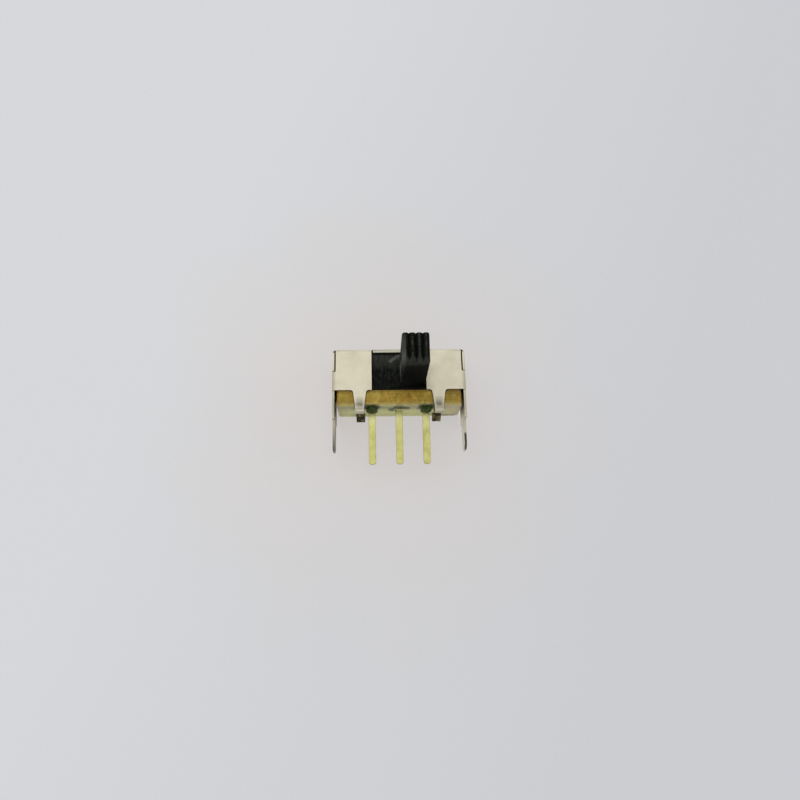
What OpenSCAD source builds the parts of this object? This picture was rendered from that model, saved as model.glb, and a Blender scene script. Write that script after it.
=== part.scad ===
// Right-angle slide switch for a circuit board, with a long ribbed knob.
// +Z is up, the pins point down, the knob points towards -Y and slides along X.
// The origin is on the centre pin's axis, in the plane where the frame's shoulders
// meet the circuit board. The knob is modelled at the +X end of its travel.

/* [Frame] */
// Thickness of the folded sheet
sheet_t = 0.2; // [0.16:0.01:0.26]
// Outside width across the end plates
frame_w = 12.2; // [11.8:0.1:14]
// Outside depth from front wall to rear wall
frame_d = 4.2; // [4:0.05:5]
// Height of the walls above the terminal board
wall_h = 3.95; // [3.7:0.05:4.6]
// Inner radius of the folds at the top plate
fold_inner_r = 0.15; // [0.1:0.01:0.25]
// Height of the ears at the lower ends of the walls
ear_h = 1.75; // [1.4:0.05:2.2]
// Slit between a wall's upper half and the end plate
slit_w = 0.13; // [0.08:0.01:0.18]
// Gap round the ears, where they lap over the end plates
ear_gap = 0.07; // [0.03:0.01:0.1]
// Height of the lip that the fold leaves above the window
lip_h = 0.38; // [0.3:0.01:0.45]
// Width of the relief notches at the lip's ends
relief_w = 0.14; // [0.1:0.01:0.3]
// Height of the terminal board above the circuit board
standoff = 1.05; // [0.9:0.05:1.6]

/* [Legs] */
// Width of a leg
leg_w = 1.8; // [1:0.1:2.4]
// Length of a leg below the shoulders
leg_len = 2.75; // [2:0.05:4]
// Corner cut at a leg's tip
leg_point = 0.45; // [0.2:0.05:0.5]

/* [Crimp tongues] */
// Distance of the tongues from the centre
tongue_x = 3.6; // [3.4:0.05:4.2]
// Width of a tongue at its fold
tongue_w = 0.8; // [0.6:0.02:0.94]
// Width of a tongue at its root
tongue_root_w = 1.22; // [1:0.02:1.4]
// Fillet radius at a tongue's root
tongue_root_r = 0.3; // [0.15:0.01:0.35]
// Inner radius of a tongue's fold
curl_inner_r = 0.3; // [0.2:0.01:0.32]
// Drop of the fold's centre below the board
curl_drop = 0.12; // [0.05:0.01:0.15]
// Angle past the horizontal at which a tongue closes on the board
curl_over = 25; // [18:1:32]

/* [Terminal board] */
// Thickness of the board
board_t = 1.5; // [1.2:0.05:2]
// Setback of the board's long edges from the wall faces
board_setback = 0.15; // [0.1:0.01:0.2]
// Gap between the board's ends and the end plates
board_end_gap = 0.23; // [0.12:0.01:0.3]
// Corner cut of the board
board_corner = 0.2; // [0.1:0.05:0.4]
// Gap between a tongue and its notch in the board
notch_gap = 0.06; // [0.04:0.01:0.1]

/* [Terminals] */
// Distance between neighbouring pins, also the knob's travel
pin_pitch = 2.5; // [2.4:0.05:2.6]
// Width of a pin
pin_w = 0.65; // [0.5:0.05:0.8]
// Thickness of the terminal strip
pin_t = 0.35; // [0.25:0.05:0.45]
// Length of a pin below the board
pin_len = 5; // [3:0.1:7]
// Corner cut at a pin's tip
pin_point = 0.16; // [0.05:0.01:0.2]
// Width of a contact pad
pad_w = 1.9; // [1.4:0.1:2.1]
// Length of a contact pad from the pin's back
pad_len = 1.15; // [1:0.05:1.25]
// Gap between a pin and its slot in the board
pin_gap = 0.03; // [0.02:0.01:0.05]

/* [Knob] */
// Width of the knob's handle
knob_w = 2.3; // [2:0.05:2.6]
// Height of the handle
knob_h = 2.55; // [2:0.05:2.7]
// Length of the handle beyond the front wall
knob_len = 6.4; // [3:0.1:10]
// Height of the handle above the board
knob_rise = 0.45; // [0.2:0.05:0.6]
// Number of grip ribs on the handle's end
rib_count = 4; // [3:1:6]
// Rounding under the handle's end
chin_r = 0.45; // [0.2:0.05:0.8]
// Rounding of the handle's long edges
knob_edge_r = 0.14; // [0.05:0.01:0.25]
// Corner rounding of the slider inside the frame
slider_corner_r = 0.25; // [0.1:0.05:0.4]
// Running gap between the slider and what it slides on
slide_gap = 0.08; // [0.05:0.01:0.1]
// Gap between the slider's end and the end plate at the end of its travel
end_gap = 0.15; // [0.08:0.01:0.3]
// Gap between the handle and the window at the end of its travel
window_gap = 0.1; // [0.05:0.01:0.2]

/* [Moving contact] */
// Thickness of the spring strip
wiper_t = 0.15; // [0.1:0.01:0.2]
// Width of the strip
wiper_w = 0.8; // [0.6:0.05:0.95]
// Height of the strip's crown above the pads
wiper_h = 1.05; // [0.95:0.01:1.15]
// Bend radius of the feet and of the crown
wiper_bend_r = 0.28; // [0.22:0.01:0.3]
// Slope of the arms
wiper_slope = 50; // [45:1:60]
// Gap between the feet and the pads
wiper_gap = 0.02; // [0.01:0.01:0.04]
// Side gap of the strip in its pocket
pocket_gap = 0.08; // [0.05:0.01:0.12]
// Gap between the slider's channel and the pads
channel_gap = 0.15; // [0.1:0.01:0.2]

/* [Detent] */
// Diameter of the ball
ball_d = 1; // [0.8:0.05:1.1]
// Diameter of the two holes in which the ball clicks
seat_d = 0.5; // [0.4:0.02:0.52]
// Gap between the ball and the rim of its hole
seat_gap = 0.01; // [0.005:0.005:0.02]
// Side gap of the ball in its bore
ball_gap = 0.03; // [0.02:0.01:0.05]
// Wall between the spring's bore and the strip's pocket
web_t = 0.5; // [0.3:0.05:0.6]
// Wire thickness of the spring
wire_d = 0.14; // [0.1:0.01:0.16]
// Side gap of the spring in its bore
spring_gap = 0.06; // [0.04:0.01:0.1]
// Turns of the spring
spring_turns = 3.5; // [2.5:0.5:3.5]

/* [Pin seals] */
// Width of a resin dab round an outer pin
seal_w = 1.2; // [0.9:0.02:1.22]
// Depth of an outer dab under the board
seal_h = 0.28; // [0.15:0.01:0.32]
// Reach of an outer dab from its pin towards the front
seal_reach = 1.2; // [0.8:0.05:1.3]
// Width of the smaller dab round the centre pin
centre_seal_w = 0.84; // [0.76:0.02:1]
// Depth of the centre dab
centre_seal_h = 0.16; // [0.14:0.01:0.22]
// Reach of the centre dab
centre_seal_reach = 0.4; // [0.2:0.05:1]

/* [Hidden] */
$fn = 48;

// Overlap that joins two pieces of one solid, and overshoot of a cut
join = 0.1;
cut = 1;

// Heights
board_z0 = standoff;
board_z1 = board_z0 + board_t;
top_z1 = board_z1 + wall_h;
top_z0 = top_z1 - sheet_t;
pad_z1 = board_z1 + pin_t;
ear_z1 = board_z1 + ear_h;

// Frame planes
fold_r = fold_inner_r + sheet_t;
front_y = -frame_d / 2;
inner_half_d = frame_d / 2 - sheet_t;
inner_half_w = frame_w / 2 - sheet_t;
wall_half_w = inner_half_w - slit_w;
travel = pin_pitch;
window_w = knob_w + travel + 2 * window_gap;

// Terminal board
board_w = 2 * (inner_half_w - board_end_gap);
board_d = frame_d - 2 * board_setback;
notch_y = inner_half_d - notch_gap;

// Tongues
curl_z = board_z0 - curl_drop;
tongue_taper = (tongue_root_w - tongue_w) / 2 / (board_z1 - curl_z);

// Slider
slider_x = travel / 2;
slider_w = 2 * (inner_half_w - end_gap) - travel;
slider_half_d = inner_half_d - slide_gap;
slider_z0 = board_z1 + slide_gap;
slider_z1 = top_z0 - slide_gap;
knob_z0 = board_z1 + knob_rise;
tip_y = front_y - knob_len;
rib_r = knob_w / rib_count / 2;

// Contact track, midway along the pads
pad_y0 = -pin_t / 2;
pad_y1 = pad_y0 + pin_t + pad_len;
track_y = (pin_t / 2 + pad_y1) / 2;
crown_z = pad_z1 + wiper_h;

// Detent
ball_r = ball_d / 2;
bore_r = ball_r + ball_gap;
bore_z0 = crown_z + web_t;
ball_z = top_z0 - sqrt(pow(ball_r, 2) - pow(seat_d / 2, 2)) - seat_gap;
wire_r = wire_d / 2;
coil_r = bore_r - spring_gap - wire_r;
coil_z0 = bore_z0 + wire_r;
coil_z1 = ball_z - sqrt(pow(ball_r + wire_r, 2) - pow(coil_r, 2)) - seat_gap;
coil_sides = 8;
coil_steps = 20;

sheet_color = [0.82, 0.80, 0.72];
board_color = [0.55, 0.38, 0.16];
pin_color = [0.80, 0.68, 0.30];
knob_color = [0.07, 0.075, 0.075];
seal_color = [0.10, 0.20, 0.12];
bronze_color = [0.72, 0.50, 0.28];
steel_color = [0.70, 0.71, 0.72];

// An outline drawn as [y, z] and run along X
module along_x(x0, x1) {
    translate([x0, 0, 0]) rotate([90, 0, 90]) linear_extrude(x1 - x0) children();
}

// An outline drawn as [x, z] and run along Y
module along_y(y0, y1) {
    translate([0, y1, 0]) rotate([90, 0, 0]) linear_extrude(y1 - y0) children();
}

// A box given by its lowest and highest corners
module block(low, high) {
    translate(low) cube(high - low);
}

// A rectangle whose corners are rounded
module rounded_rect(low, high, r) {
    translate([low[0] + r, low[1]]) square([high[0] - low[0] - 2 * r, high[1] - low[1]]);
    translate([low[0], low[1] + r]) square([high[0] - low[0], high[1] - low[1] - 2 * r]);
    for (x = [low[0] + r, high[0] - r], y = [low[1] + r, high[1] - r])
        translate([x, y]) circle(r);
}

// A rectangle with rounded upper corners, centred on the first axis
module arch(w, z0, z1, r) {
    translate([-w / 2, z0]) square([w, z1 - r - z0]);
    translate([-w / 2 + r, z0]) square([w - 2 * r, z1 - z0]);
    for (side = [-1, 1]) translate([side * (w / 2 - r), z1 - r]) circle(r);
}

// The folded sheet seen end on: a plate with a wall down each side
module folded_arch(w, z0) {
    difference() {
        arch(w, z0, top_z1, fold_r);
        arch(w - 2 * sheet_t, z0 - cut, top_z0, fold_inner_r);
    }
}

// Front and rear wall with the top plate, open at the knob's window
module long_walls() {
    difference() {
        along_x(-wall_half_w, wall_half_w) folded_arch(frame_d, board_z1);
        block([-window_w / 2, front_y - cut, board_z1 - cut],
              [window_w / 2, front_y + fold_r, top_z1 - lip_h]);
        for (side = [0, 1]) mirror([side, 0, 0])
            block([window_w / 2 - relief_w, front_y - cut, board_z1],
                  [window_w / 2, front_y + fold_r, top_z1 + cut]);
    }
}

// Ears that lap over the end plates at the lower corners
module ears() {
    for (side = [0, 1], back = [0, 1])
        mirror([side, 0, 0]) mirror([0, back, 0])
            block([wall_half_w - join, front_y, board_z1],
                  [frame_w / 2, front_y + sheet_t, ear_z1]);
}

// End plates, notched round the ears, beside the walls' folds and down to the shoulders
module end_plates() {
    notch_half_d = inner_half_d - ear_gap;
    difference() {
        along_y(front_y, -front_y) folded_arch(frame_w, 0);
        for (back = [0, 1]) mirror([0, back, 0]) {
            block([-frame_w, front_y - cut, top_z1 - fold_r],
                  [frame_w, front_y + fold_r, top_z1 + cut]);
            block([-frame_w, front_y - cut, -cut],
                  [frame_w, -notch_half_d, ear_z1 + ear_gap]);
        }
    }
}

// Pointed legs that pass through the circuit board
module legs() {
    leg_outline = [
        [-leg_w / 2, join], [-leg_w / 2, -leg_len + leg_point],
        [-leg_w / 2 + leg_point, -leg_len], [leg_w / 2 - leg_point, -leg_len],
        [leg_w / 2, -leg_len + leg_point], [leg_w / 2, join]
    ];
    for (side = [0, 1]) mirror([side, 0, 0])
        along_x(inner_half_w, frame_w / 2) polygon(leg_outline);
}

// A tapered tongue with a flared root, seen from the front, and grown by a gap all round
module tongue_outline(gap) {
    run = sqrt(1 + pow(tongue_taper, 2));
    root_x = tongue_root_w / 2 + gap * run;
    fold_x = tongue_w / 2 + gap * run;
    // Centre of a root fillet and the height at which it meets the tongue's edge
    flare_x = tongue_root_w / 2 + tongue_root_r * (run - tongue_taper);
    flare_z = board_z1 - tongue_root_r;
    meet_z = flare_z + (tongue_root_r - gap) * tongue_taper / run;
    polygon([[-root_x, board_z1], [-fold_x, curl_z], [fold_x, curl_z], [root_x, board_z1]]);
    difference() {
        translate([-flare_x, meet_z]) square([2 * flare_x, board_z1 + join - meet_z]);
        for (side = [-1, 1]) translate([side * flare_x, flare_z]) circle(tongue_root_r - gap);
    }
}

// One front tongue: flared root, tapered shank, and a curl closed under the board
module tongue() {
    curl_y = front_y + sheet_t + curl_inner_r;
    curl_angle = 90 + curl_over;
    // Straight end of the tongue, as long as it takes to meet the board
    end_len = (curl_drop + curl_inner_r * cos(curl_over) - seat_gap) / sin(curl_over);
    translate([tongue_x, 0, 0]) {
        along_y(front_y, front_y + sheet_t) tongue_outline(0);
        translate([0, curl_y, curl_z]) rotate([0, 90, 0]) rotate([0, 0, -90]) {
            rotate_extrude(angle = curl_angle)
                translate([curl_inner_r, -tongue_w / 2]) square([sheet_t, tongue_w]);
            rotate([0, 0, curl_angle]) translate([curl_inner_r, 0, -tongue_w / 2])
                cube([sheet_t, end_len, tongue_w]);
        }
    }
}

module frame_shell() {
    color(sheet_color) difference() {
        union() {
            long_walls();
            ears();
            end_plates();
            legs();
            for (side = [0, 1], back = [0, 1])
                mirror([side, 0, 0]) mirror([0, back, 0]) tongue();
        }
        for (side = [-1, 1]) translate([side * slider_x, 0, top_z0 - cut])
            cylinder(d = seat_d, h = sheet_t + 2 * cut);
    }
}

module terminal_board() {
    slot = [pin_w + 2 * pin_gap, pin_t + 2 * pin_gap];
    half = [board_w / 2, board_d / 2];
    color(board_color) difference() {
        translate([0, 0, board_z0]) linear_extrude(board_t) difference() {
            polygon([
                [-half[0] + board_corner, -half[1]], [half[0] - board_corner, -half[1]],
                [half[0], -half[1] + board_corner], [half[0], half[1] - board_corner],
                [half[0] - board_corner, half[1]], [-half[0] + board_corner, half[1]],
                [-half[0], half[1] - board_corner], [-half[0], -half[1] + board_corner]
            ]);
            for (i = [-1, 0, 1]) translate([i * pin_pitch, 0]) square(slot, center = true);
        }
        for (side = [-1, 1], back = [0, 1]) mirror([0, back, 0])
            translate([side * tongue_x, 0, 0]) along_y(-notch_y - cut, -notch_y) tongue_outline(notch_gap);
    }
}

// A strip bent at a right angle: a contact pad on the board and a pin through it
module terminal(place) {
    pin_z0 = board_z0 - pin_len;
    pin_outline = [
        [-pin_w / 2, board_z1], [-pin_w / 2, pin_z0 + pin_point],
        [-pin_w / 2 + pin_point, pin_z0], [pin_w / 2 - pin_point, pin_z0],
        [pin_w / 2, pin_z0 + pin_point], [pin_w / 2, board_z1]
    ];
    color(pin_color) translate([place * pin_pitch, 0, 0]) {
        along_y(pad_y0, pad_y0 + pin_t) polygon(pin_outline);
        along_x(-pin_w / 2, pin_w / 2) intersection() {
            translate([pin_t / 2, board_z1]) circle(pin_t);
            translate([pad_y0, board_z1]) square(pin_t);
        }
        block([-pad_w / 2, pin_t / 2, board_z1], [pad_w / 2, pad_y1, pad_z1]);
    }
}

// A low, long dab of resin where a pin leaves the board
module seal(place, w, h, reach) {
    dome_r = (pow(w / 2, 2) + pow(h, 2)) / (2 * h);
    color(seal_color) translate([place * pin_pitch, 0, board_z0]) difference() {
        translate([0, 0, dome_r - h]) {
            for (y = [-reach, 0]) translate([0, y, 0]) sphere(dome_r);
            rotate([90, 0, 0]) cylinder(r = dome_r, h = reach);
        }
        translate([-2 * dome_r, -2 * dome_r - reach, 0])
            cube([4 * dome_r, 4 * dome_r + reach, 3 * dome_r]);
        cube([pin_w, pin_t, 2 * cut], center = true);
    }
}

// The handle: ribbed end, rounded chin and softened long edges
module handle() {
    root_y = -slider_half_d + slider_corner_r;
    knob_z1 = knob_z0 + knob_h;
    rib_y = tip_y + rib_r;
    intersection() {
        translate([0, 0, knob_z0 - cut]) linear_extrude(knob_h + 2 * cut) {
            translate([-knob_w / 2, rib_y]) square([knob_w, root_y - rib_y]);
            for (i = [0 : rib_count - 1])
                translate([-knob_w / 2 + (2 * i + 1) * rib_r, rib_y]) circle(rib_r);
        }
        along_x(-knob_w, knob_w)
            rounded_rect([tip_y, knob_z0], [root_y + 2 * chin_r, knob_z1 + 2 * chin_r], chin_r);
        along_y(tip_y - cut, root_y + cut)
            rounded_rect([-knob_w / 2, knob_z0], [knob_w / 2, knob_z1], knob_edge_r);
    }
}

module slider_knob() {
    channel_y0 = pad_y0 - channel_gap;
    channel_y1 = pad_y1 + channel_gap;
    channel_z1 = pad_z1 + channel_gap;
    pocket_half_w = pin_pitch / 2 + wiper_bend_r + wiper_t / 2 + pocket_gap;
    pocket_half_d = wiper_w / 2 + pocket_gap;
    color(knob_color) translate([slider_x, 0, 0]) difference() {
        union() {
            translate([0, 0, slider_z0]) linear_extrude(slider_z1 - slider_z0)
                rounded_rect([-slider_w / 2, -slider_half_d], [slider_w / 2, slider_half_d],
                             slider_corner_r);
            handle();
        }
        block([-slider_w, channel_y0, slider_z0 - cut], [slider_w, channel_y1, channel_z1]);
        block([-pocket_half_w, track_y - pocket_half_d, slider_z0],
              [pocket_half_w, track_y + pocket_half_d, crown_z]);
        translate([0, 0, bore_z0]) cylinder(r = bore_r, h = slider_z1 - bore_z0 + cut);
    }
}

// Points of an arc, from one angle to another
function arc_points(centre, r, from, to) = let (steps = 10)
    [for (i = [0 : steps]) let (a = from + (to - from) * i / steps)
        centre + r * [cos(a), sin(a)]];

// Right half of the strip's middle line, from the crown to the foot's upturned tip
function wiper_half() =
    let (
        r = wiper_bend_r,
        foot_z = pad_z1 + wiper_gap + wiper_t / 2 + r,
        bend_z = crown_z - wiper_t / 2 - r,
        rise = bend_z - foot_z + 2 * r * cos(wiper_slope),
        bend_x = pin_pitch / 2 - 2 * r * sin(wiper_slope) - rise / tan(wiper_slope)
    )
    concat(
        arc_points([bend_x, bend_z], r, 90, 90 - wiper_slope),
        arc_points([pin_pitch / 2, foot_z], r, 270 - wiper_slope, 350)
    );

// Direction across a path at one of its points
function across(path, i) =
    let (
        a = path[max(i - 1, 0)],
        b = path[min(i + 1, len(path) - 1)],
        d = (b - a) / norm(b - a)
    )
    [-d[1], d[0]];

module wiper_contact() {
    half = wiper_half();
    path = concat(
        [for (i = [len(half) - 1 : -1 : 0]) [-half[i][0], half[i][1]]],
        half
    );
    upper = [for (i = [0 : len(path) - 1]) path[i] + across(path, i) * wiper_t / 2];
    lower = [for (i = [len(path) - 1 : -1 : 0]) path[i] - across(path, i) * wiper_t / 2];
    color(bronze_color) translate([slider_x, 0, 0])
        along_y(track_y - wiper_w / 2, track_y + wiper_w / 2) polygon(concat(upper, lower));
}

// A helical spring standing in the slider's bore
module detent_spring() {
    rings = round(spring_turns * coil_steps);
    points = [
        for (i = [0 : rings], k = [0 : coil_sides - 1])
            let (
                turn = 360 * i / coil_steps,
                side = 360 * k / coil_sides,
                r = coil_r + wire_r * cos(side)
            )
            [r * cos(turn), r * sin(turn),
             coil_z0 + (coil_z1 - coil_z0) * i / rings + wire_r * sin(side)]
    ];
    walls = [
        for (i = [0 : rings - 1], k = [0 : coil_sides - 1])
            let (a = i * coil_sides, b = a + coil_sides, n = (k + 1) % coil_sides)
            [a + k, a + n, b + n, b + k]
    ];
    first_cap = [for (k = [coil_sides - 1 : -1 : 0]) k];
    last_cap = [for (k = [0 : coil_sides - 1]) rings * coil_sides + k];
    color(steel_color) translate([slider_x, 0, 0])
        polyhedron(points, concat(walls, [first_cap, last_cap]), convexity = 8);
}

module detent_ball() {
    color(steel_color) translate([slider_x, 0, ball_z]) sphere(ball_r);
}

frame_shell();
terminal_board();
terminal(-1);  // terminal_left
terminal(0);  // terminal_centre
terminal(1);  // terminal_right
seal(-1, seal_w, seal_h, seal_reach);  // seal_left
seal(0, centre_seal_w, centre_seal_h, centre_seal_reach);  // seal_centre
seal(1, seal_w, seal_h, seal_reach);  // seal_right
slider_knob();
wiper_contact();
detent_spring();
detent_ball();
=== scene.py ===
"""A right-angle slide switch: finishes, stage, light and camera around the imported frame."""

import math

import bmesh
import bpy
from mathutils import Matrix, Vector, noise


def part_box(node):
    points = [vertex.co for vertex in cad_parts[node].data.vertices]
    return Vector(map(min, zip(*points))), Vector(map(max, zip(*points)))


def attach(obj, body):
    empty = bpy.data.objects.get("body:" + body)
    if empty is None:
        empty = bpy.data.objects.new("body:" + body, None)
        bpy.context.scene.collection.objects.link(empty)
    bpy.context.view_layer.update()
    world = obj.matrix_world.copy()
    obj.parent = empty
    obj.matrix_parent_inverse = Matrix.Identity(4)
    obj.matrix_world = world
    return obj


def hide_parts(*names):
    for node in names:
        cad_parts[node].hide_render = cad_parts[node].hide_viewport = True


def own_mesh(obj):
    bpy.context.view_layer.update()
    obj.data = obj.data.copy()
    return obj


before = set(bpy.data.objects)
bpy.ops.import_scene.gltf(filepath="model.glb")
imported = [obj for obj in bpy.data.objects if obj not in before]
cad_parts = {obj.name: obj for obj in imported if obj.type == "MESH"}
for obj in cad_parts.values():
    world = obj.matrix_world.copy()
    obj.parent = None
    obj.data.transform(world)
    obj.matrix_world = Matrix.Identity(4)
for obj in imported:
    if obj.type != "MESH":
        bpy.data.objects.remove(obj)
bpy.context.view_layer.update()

# One millimetre in the frame's metres
MM = 0.001

# Camera, fitted to the photograph's 800 x 800 frame
IMAGE_PX = 800
FOCAL_PX = 640
SENSOR_MM = 36
CLIP_START = 0.5
CAMERA_DISTANCE = 60.05
CAMERA_TILT = math.radians(15.54)
CAMERA_YAW = math.radians(1.94)
CAMERA_ROLL = math.radians(1.24)
AIM_X = 0.12
AIM_ABOVE_BOARD = 1.08

# Soft lamps: name, place and size in metres, and share of plain light
LAMPS = (
    ("front_lamp", (-0.25, -0.80, 0.45), 1.25, 0.47),
    ("top_lamp", (0.10, 0.10, 0.90), 0.7, 0.25),
    ("low_lamp", (0.05, -0.50, -0.75), 0.9, 0.14),
    ("side_lamp", (0.80, -0.25, 0.15), 0.5, 0.15),
    ("back_lamp", (-0.30, 0.75, 0.30), 0.9, 0.45),
)
# Light from the surroundings, and their tone where the camera sees them
ROOM_LEVEL = 0.56
ROOM_COLOUR = (0.700, 0.680, 0.678)

# Tones of the paper round the switch, further out, and in its painted shade towards the right
PAPER_NEAR = (0.722, 0.677, 0.650)
PAPER_FAR = (0.683, 0.697, 0.720)
PAPER_SHADE = (0.543, 0.555, 0.590)
# Distances from the switch over which the tone changes, and how far these waver
TONE_NEAR = 6.0
TONE_FAR = 26.0
TONE_WAVER = 3.0
# Lean of the painted shade's edge, and its strength
SHADE_LEAN = 0.4
SHADE_SHARE = 0.5
# Half the sheet's width, in metres
PAPER_REACH = 3.0
# Gap behind the switch's back, and the depth of the paper's tooth
PAPER_GAP = 0.01
PAPER_TOOTH = 0.03
# Rays shorter than this pass the paper, so that the face lying on it is lit
PAPER_CLEAR = 0.6
# Share of the paper's own colour that the camera sees without shadow
PAPER_EVEN = 0.72

# Rounding of the sharp edges of each kind of piece
SHEET_EDGE = 0.05
BOARD_EDGE = 0.04
PIN_EDGE = 0.04
KNOB_EDGE = 0.05
EDGE_STEPS = 2
EDGE_PROFILE = 0.55
# Weight of the large faces in the shading of rounded edges
FLAT_WEIGHT = 80
# Voxel of the resin dabs, lumps to the millimetre, and shares by which they draw in and sink
DAB_VOXEL = 0.03
DAB_LUMPS = 2.6
DAB_FINER = 1.6
DAB_DRAW_IN = 0.2
DAB_SINK = 0.3
# Vertices closer than this are one vertex
WELD = 0.0005
# Flat triangles are joined below this angle, and edges are rounded above the next
FLAT_ANGLE = math.radians(0.5)
SHARP_ANGLE = math.radians(38)

# Most of a noise's values lie in this span, and patches come in between the next two levels
NOISE_SPAN = (0.3, 0.7)
PATCHES = (0.35, 0.6)
# Agreement of a rounded and a true normal over which a worn corner comes in
CORNER = (0.995, 0.85)
# Share of a spot's reach that it covers in full
SPOT_CORE = 0.6
# How far a surface turns to an axis where it counts as facing it, facing away, and slanting away
FACING = (0.5, 0.8)
AWAY = (-0.5, -0.8)
SLANTED = (-0.2, -0.5)
# Distances from the middle over which left and right fade into each other
LEFT = (1.0, -1.0)
RIGHT = (-1.0, 1.0)


def box_mm(node):
    """Lowest and highest corner of a CAD node, in millimetres."""
    low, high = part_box(node)
    return Vector(low) / MM, Vector(high) / MM


# Places that the finishes refer to
shell_high = box_mm("frame_shell")[1]
board_low, board_high = box_mm("terminal_board")
knob_low, knob_high = box_mm("slider_knob")
pin_places = [sum(box_mm(n), Vector()) / 2 for n in ("terminal_left", "terminal_centre", "terminal_right")]
handle_x = (knob_low.x + knob_high.x) / 2
slider_face_y = -knob_high.y
HANDLE_HALF_W = 1.15
RIB_PITCH = 0.575
CHIN_Z = 3.2
TONGUE_X = 3.6
WINDOW_HALF_W = 2.5
LIP_H = 0.38
NOTCH_W = 0.1
FOLD_STOP = 0.35


class Nodes:
    """One node tree, with short ways to place nodes in it; lengths are in millimetres."""

    def __init__(self, tree):
        self.tree = tree
        self.place = None

    def put(self, kind, inputs=None, **settings):
        """One node, with its settings, and its inputs as values or sockets."""
        made = self.tree.nodes.new(kind)
        for name, value in settings.items():
            setattr(made, name, value)
        self.give(made, inputs or {})
        return made

    def give(self, node, inputs):
        """Sets a node's inputs, or links them where the value is a socket."""
        for key, value in inputs.items():
            if isinstance(value, bpy.types.NodeSocket):
                self.tree.links.new(value, node.inputs[key])
            else:
                node.inputs[key].default_value = value

    def use(self, shared, **values):
        """The outputs of a shared group with these inputs."""
        made = self.put("ShaderNodeGroup", node_tree=shared)
        self.give(made, values)
        return made.outputs

    def vector(self, operation, first, second, output="Vector"):
        """The result of one vector sum."""
        return self.put("ShaderNodeVectorMath", {0: first, 1: second}, operation=operation).outputs[output]

    def maths(self, operation, first, second=0.0):
        """The result of one sum."""
        return self.put("ShaderNodeMath", {0: first, 1: second}, operation=operation).outputs[0]

    def point(self, stretch=None):
        """The piece's own coordinates, stretched per axis if asked."""
        if self.place is None:
            metres = self.put("ShaderNodeTexCoord").outputs["Object"]
            self.place = self.vector("MULTIPLY", metres, (1 / MM,) * 3)
        return self.place if stretch is None else self.vector("MULTIPLY", self.place, stretch)

    def axis(self, letter):
        """One coordinate of the piece."""
        return self.put("ShaderNodeSeparateXYZ", {0: self.point()}).outputs[letter]

    def facing(self, letter):
        """How far the surface faces along one axis of the piece."""
        normal = self.put("ShaderNodeTexCoord").outputs["Normal"]
        return self.put("ShaderNodeSeparateXYZ", {0: normal}).outputs[letter]

    def ramp(self, value, low, high, start=0.0, end=1.0):
        """A value brought from one range to another, and held there."""
        inputs = {"Value": value, "From Min": low, "From Max": high, "To Min": start, "To Max": end}
        return self.put("ShaderNodeMapRange", inputs, clamp=True).outputs["Result"]

    def near(self, value, level, start, end):
        """A mask that comes in between two distances from a level."""
        return self.ramp(value, level + start, level + end)

    def band(self, value, low, high, soft):
        """A mask between two levels, with soft ends outside them."""
        return self.both(self.near(value, low, -soft, 0.0), self.near(value, high, soft, 0.0))

    def spread(self, value, low, high):
        """A noise spread over a range."""
        return self.ramp(value, *NOISE_SPAN, low, high)

    def both(self, first, *others):
        """The product of masks."""
        for other in others:
            first = self.maths("MULTIPLY", first, other)
        return first

    def either(self, first, *others):
        """The strongest of masks."""
        for other in others:
            first = self.maths("MAXIMUM", first, other)
        return first

    def noise(self, scale, detail=3.0, roughness=0.5, stretch=None):
        """Smooth noise between 0 and 1, with a number of lumps to the millimetre."""
        inputs = {"Vector": self.point(stretch), "Scale": scale, "Detail": detail, "Roughness": roughness}
        return self.put("ShaderNodeTexNoise", inputs).outputs["Fac"]

    def mix(self, first, second, mask):
        """Two colours mixed by a mask."""
        inputs = {0: mask, 6: self.colour(first), 7: self.colour(second)}
        return self.put("ShaderNodeMix", inputs, data_type="RGBA").outputs[2]

    def colour(self, value):
        """A socket as it is, or a colour with its fourth number."""
        return value if isinstance(value, bpy.types.NodeSocket) else (*value, 1.0)

    def coats(self, ground, *layers):
        """A ground colour under coats, each given by its tone, its mask and its strength."""
        for tone, mask, strength in layers:
            ground = self.mix(ground, tone, self.both(mask, strength))
        return ground

    def bump(self, height, depth):
        """A normal raised by a height of this depth."""
        inputs = {"Height": height, "Distance": depth * MM, "Strength": 1.0}
        return self.put("ShaderNodeBump", inputs).outputs["Normal"]

    def spot(self, centre, reach):
        """A soft mask round a place on the underside, with its reach along X and Y."""
        scale = (1 / reach[0], 1 / reach[1], 0.0)
        middle = (centre[0] * scale[0], centre[1] * scale[1], 0.0)
        away = self.vector("DISTANCE", self.point(scale), middle, "Value")
        return self.ramp(away, 1.0, SPOT_CORE)

    def streak(self, start, end, half_width):
        """A mask along a line on the front, given by its ends as X and Z."""
        line = Vector(end) - Vector(start)
        along = line.normalized()
        across = Vector((-along.y, along.x))
        run = self.vector("DOT_PRODUCT", self.point(), (along.x, 0.0, along.y), "Value")
        side = self.vector("DOT_PRODUCT", self.point(), (across.x, 0.0, across.y), "Value")
        first = along.dot(start)
        middle = across.dot(start)
        length = self.band(run, first, first + line.length, half_width)
        return self.both(length, self.band(side, middle, middle, half_width))

    def seen(self, path):
        """A mask of the rays that show the background, from the outputs of a light path."""
        return self.either(path["Is Camera Ray"], path["Is Glossy Ray"], path["Is Transmission Ray"])


# Shared effects


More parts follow.
